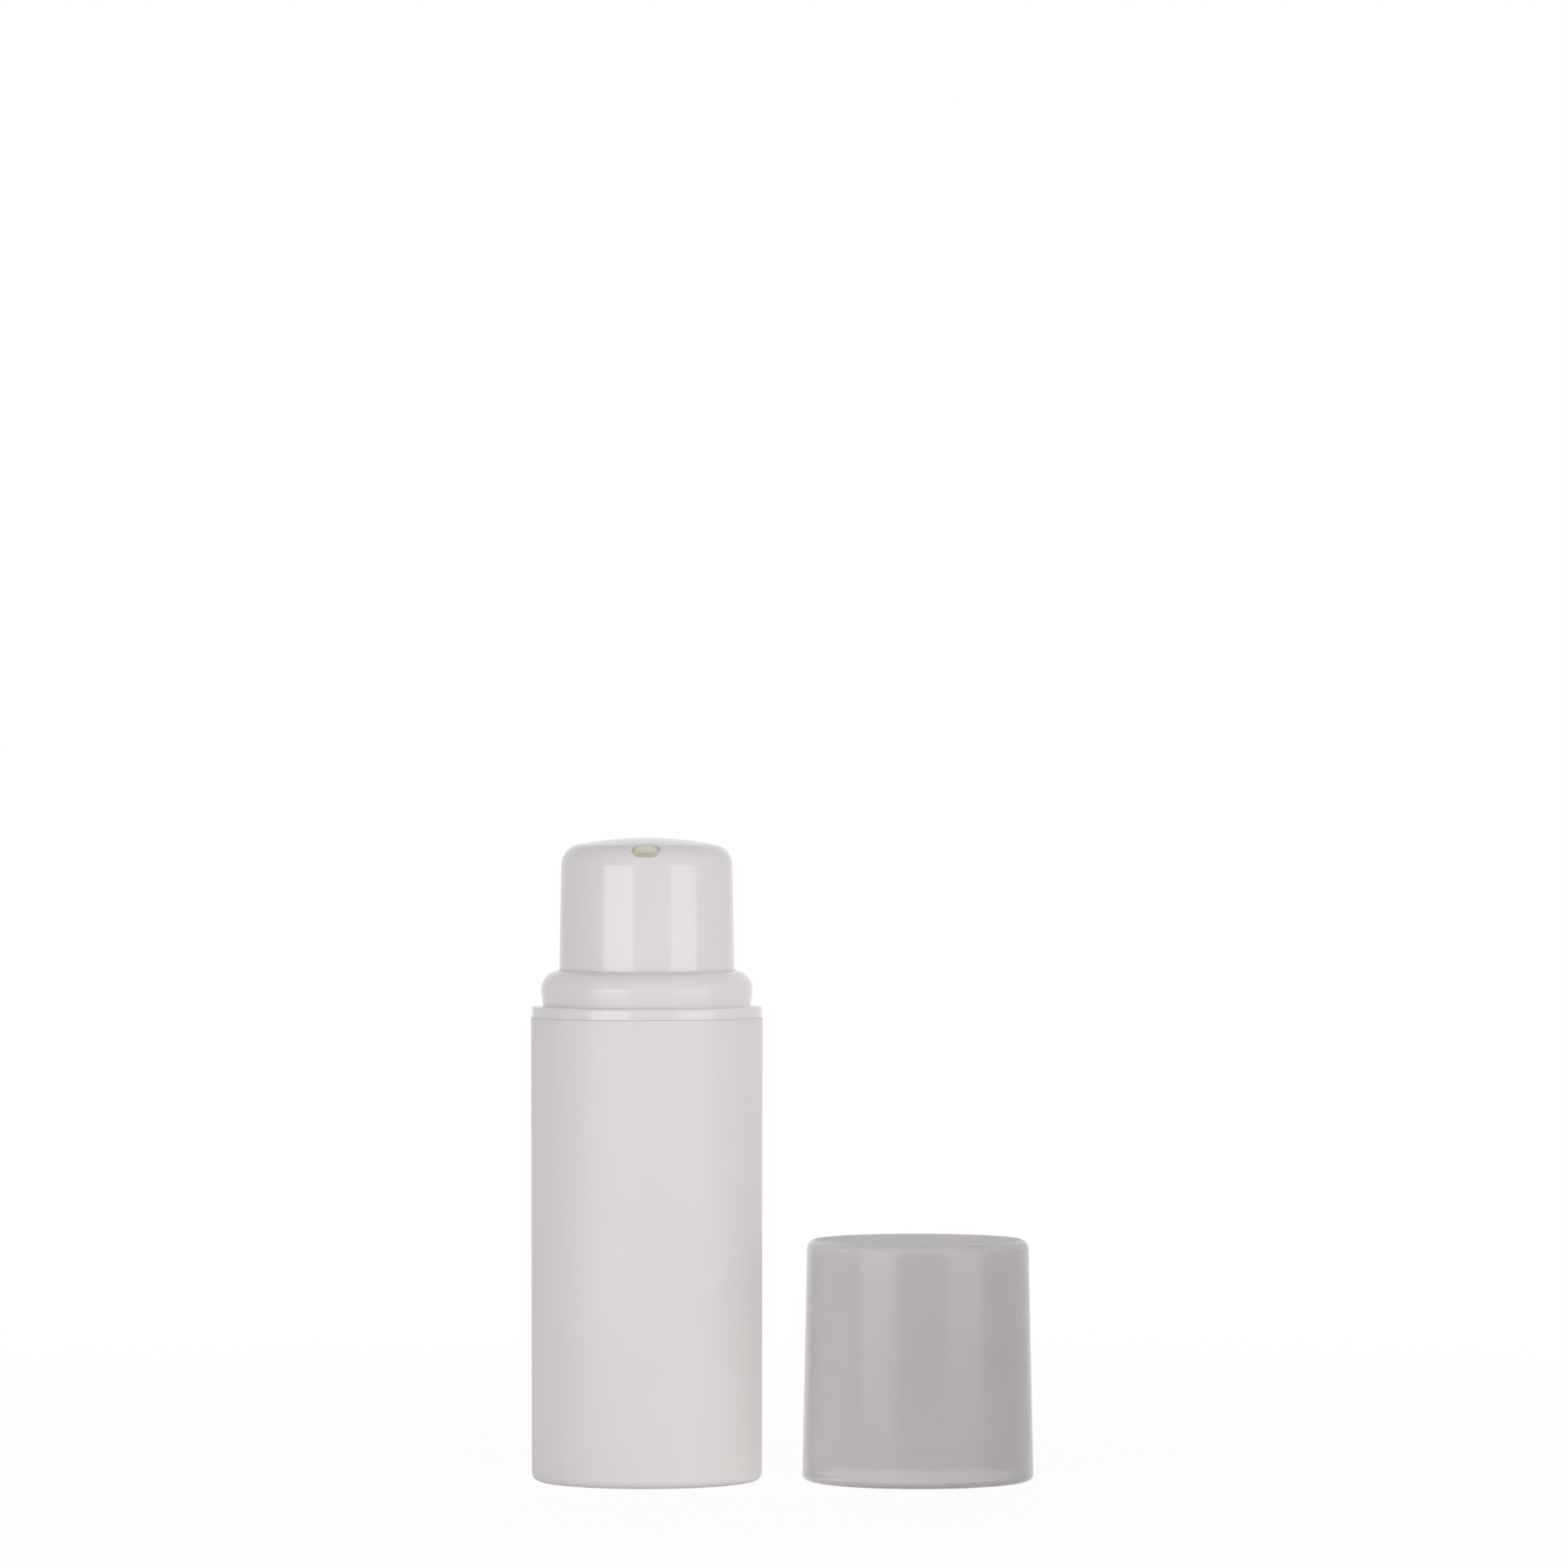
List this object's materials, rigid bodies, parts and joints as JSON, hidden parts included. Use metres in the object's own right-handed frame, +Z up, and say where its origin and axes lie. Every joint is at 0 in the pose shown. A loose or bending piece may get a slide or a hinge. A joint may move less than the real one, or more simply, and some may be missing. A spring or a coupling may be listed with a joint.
{
  "type": "airless pump bottle",
  "caption": "Cylindrical airless cosmetic bottle with a press-down round pump head, front nozzle slot, snap-in collar, rising follower piston and a translucent cap stood beside it.",
  "frame": {"origin": "centre of the ring that the bottle stands on, on the bottle's axis", "axes": "+Z up along the bottle's axis, -Y the way the nozzle points, +X towards the cap that stands beside the bottle"},
  "size_m": [0.0612, 0.0282, 0.0782],
  "materials": {
    "satin_white": "satin moulded polypropylene",
    "gloss_white": "polished moulded polypropylene",
    "frosted_cap": "translucent natural polypropylene",
    "natural_pp": "natural polypropylene",
    "natural_pe": "natural polyethylene",
    "spring_steel": "drawn stainless wire",
    "valve_glass": "polished glass ball"
  },
  "bodies": {
    "bottle_unit": {"bottle": "satin_white", "housing_gasket": "natural_pe", "pump_housing": "natural_pp", "chaplet": "natural_pp", "collar": "gloss_white"},
    "follower": {"follower_piston": "natural_pe"},
    "inlet_valve": {"inlet_ball": "valve_glass"},
    "swivel": {"return_spring": "spring_steel"},
    "head": {"actuator": "gloss_white", "nozzle_insert": "natural_pe", "stem": "natural_pp", "piston_rod": "natural_pp"},
    "piston": {"pump_piston": "natural_pe"},
    "cap_unit": {"cap": "frosted_cap"}
  },
  "joints": [
    {"name": "head_turn", "type": "hinge", "parent": "bottle_unit", "child": "swivel", "pos_m": [0, 0, 0.0514], "axis": [0, 0, 1], "continuous": true},
    {"name": "head_press", "type": "slide", "parent": "swivel", "child": "head", "axis": [0, 0, -1], "range_m": [0, 0.0045], "stiffness_N_per_m": 1500, "springref_m": -0.0005, "deforming": ["return_spring"]},
    {"name": "piston_stroke", "type": "slide", "parent": "bottle_unit", "child": "piston", "axis": [0, 0, -1], "range_m": [0, 0.00394]},
    {"name": "inlet_ball_lift", "type": "slide", "parent": "bottle_unit", "child": "inlet_valve", "axis": [0, 0, 1], "range_m": [0, 0.0008]},
    {"name": "follower_rise", "type": "slide", "parent": "bottle_unit", "child": "follower", "axis": [0, 0, 1], "range_m": [0, 0.0362]},
    {"name": "cap_lift", "type": "slide", "parent": "bottle_unit", "child": "cap_unit", "axis": [0, 0, 1], "range_m": [0, 0.09]}
  ],
  "couplings": [
    {"joint": "piston_stroke", "follows": "head_press", "ratio": 0.875}
  ]
}
